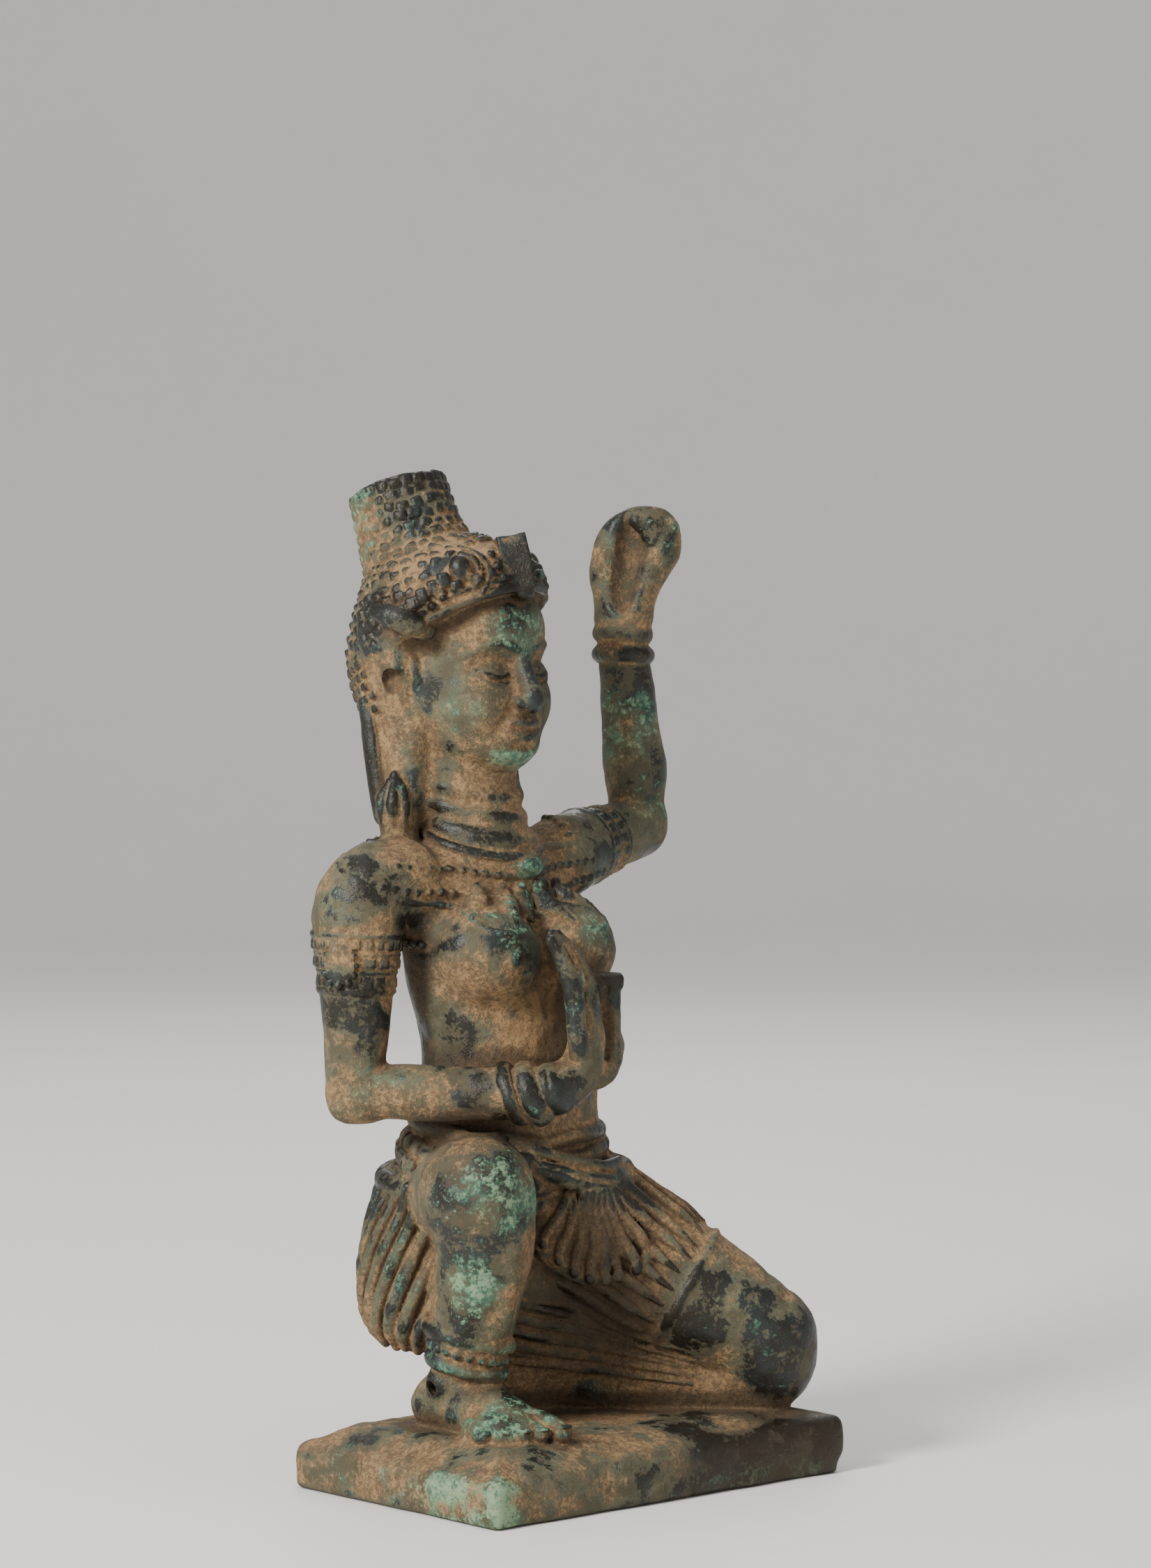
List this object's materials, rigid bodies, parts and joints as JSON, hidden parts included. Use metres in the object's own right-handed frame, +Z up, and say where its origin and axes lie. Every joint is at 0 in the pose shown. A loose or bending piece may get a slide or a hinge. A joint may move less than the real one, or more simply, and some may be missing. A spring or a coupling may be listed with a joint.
{
  "type": "kneeling bronze figure",
  "caption": "Kneeling celestial figure in cast bronze with a tall leaning crown, one arm raised and one hand before the chest, on a slab base.",
  "frame": {"origin": "under the middle of the outline, on the surface that the slab base stands on", "axes": "+Z up, -Y the way the figure faces, -X the figure's own right side"},
  "size_m": [0.088, 0.07, 0.1806],
  "materials": {
    "patinated_bronze": "old cast bronze with a dark brown and grey-green patina, pale verdigris patches and orange-brown earth in the hollows"
  },
  "bodies": {
    "root": {"bronze_figure": "patinated_bronze"}
  },
  "joints": []
}
